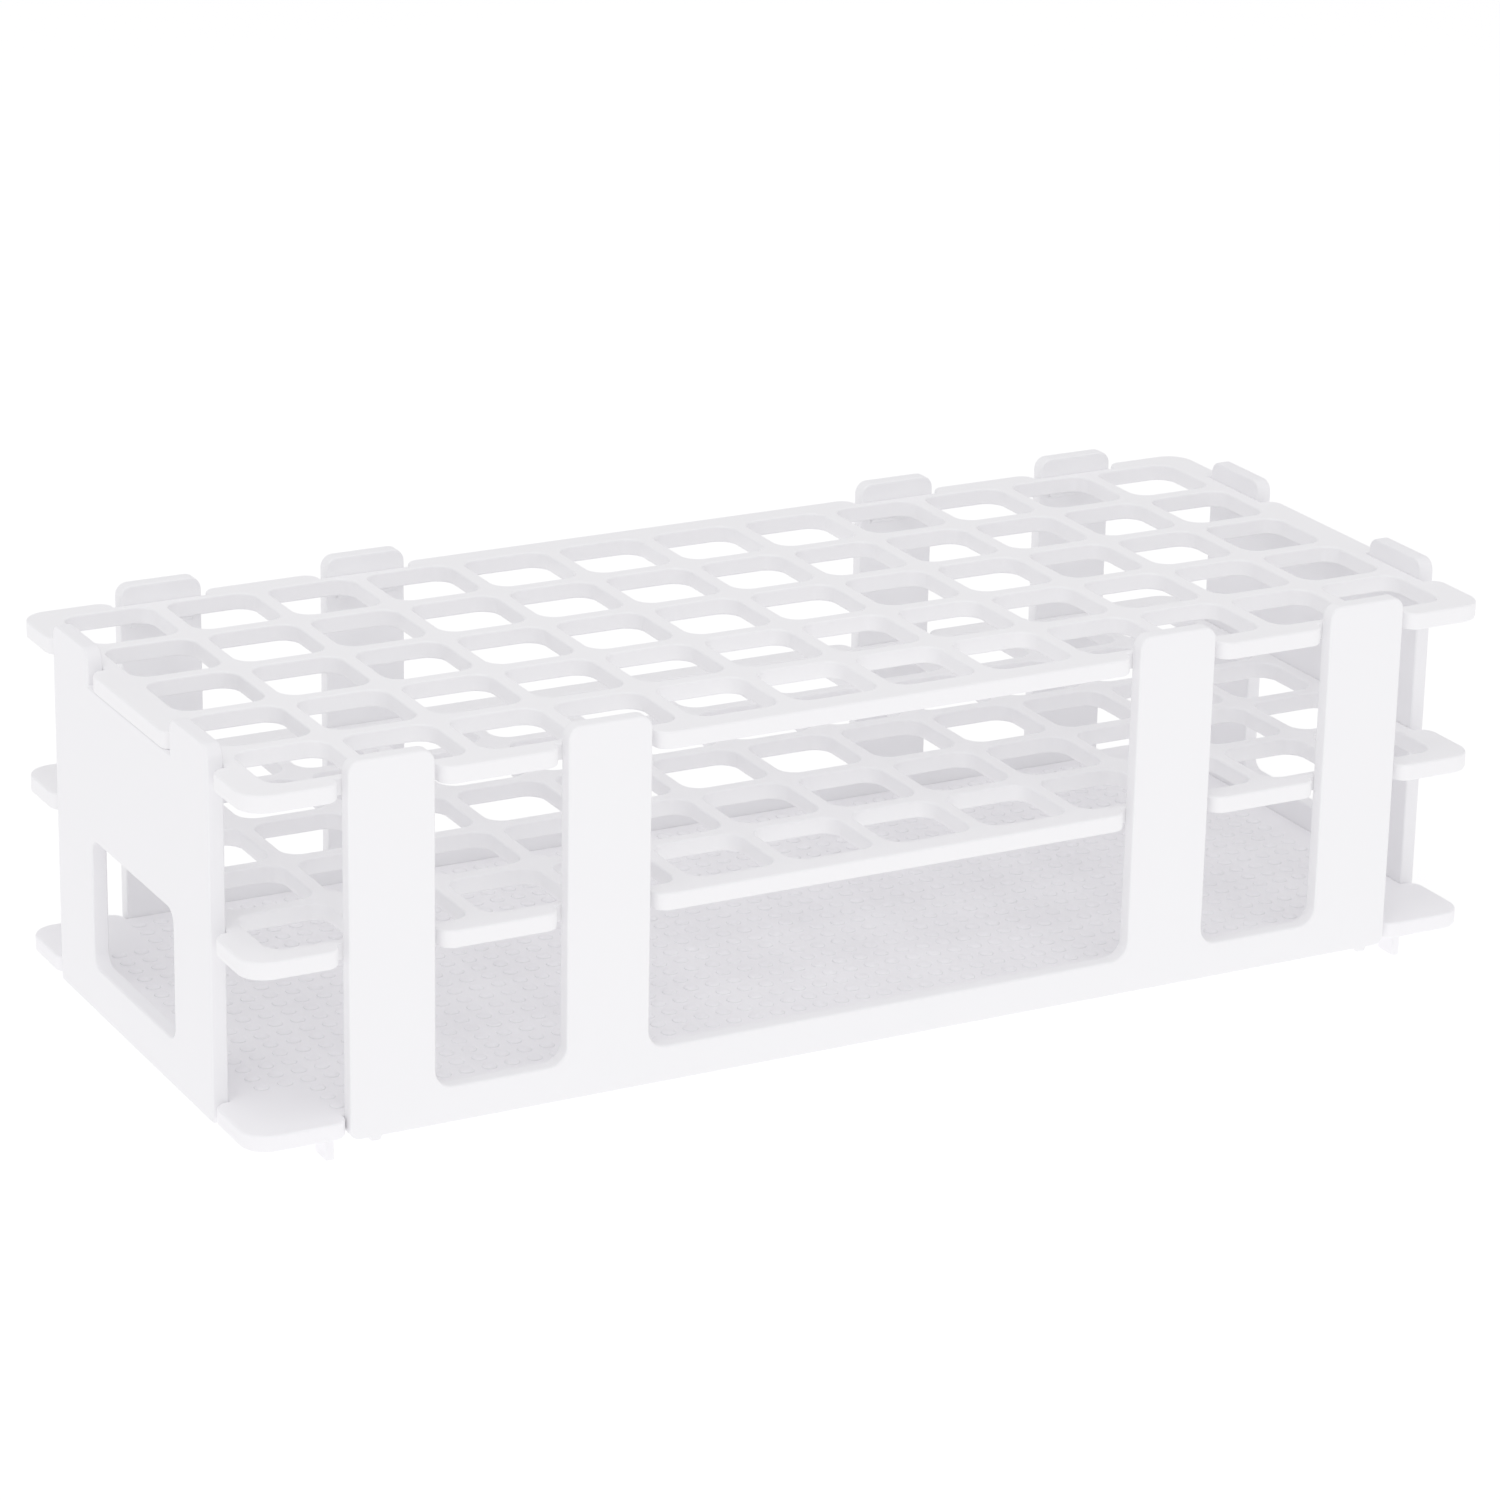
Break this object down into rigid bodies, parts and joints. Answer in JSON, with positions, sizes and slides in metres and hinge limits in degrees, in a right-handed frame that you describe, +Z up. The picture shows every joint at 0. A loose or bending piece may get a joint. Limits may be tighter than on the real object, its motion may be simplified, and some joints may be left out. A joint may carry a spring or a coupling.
{
  "type": "test tube rack",
  "caption": "White moulded plastic rack that holds upright test tubes in square places, with two grid shelves over a solid floor, clipped between side frames and end panels.",
  "frame": {"origin": "centre of the rack's length and width, on the plane that its lugs stand on", "axes": "+X along the length to the right, +Y from front to back, +Z up"},
  "size_m": [0.2496, 0.107, 0.0722],
  "materials": {
    "shelf_plastic": "satin white polypropylene",
    "floor_plastic": "satin white polypropylene with a fine texture of raised dots",
    "frame_plastic": "satin white polypropylene",
    "panel_plastic": "satin white polypropylene"
  },
  "bodies": {
    "root": {"top_shelf": "shelf_plastic", "middle_shelf": "shelf_plastic", "floor_shelf": "floor_plastic", "front_side_frame": "frame_plastic", "back_side_frame": "frame_plastic", "left_end_panel": "panel_plastic", "right_end_panel": "panel_plastic"}
  },
  "joints": []
}
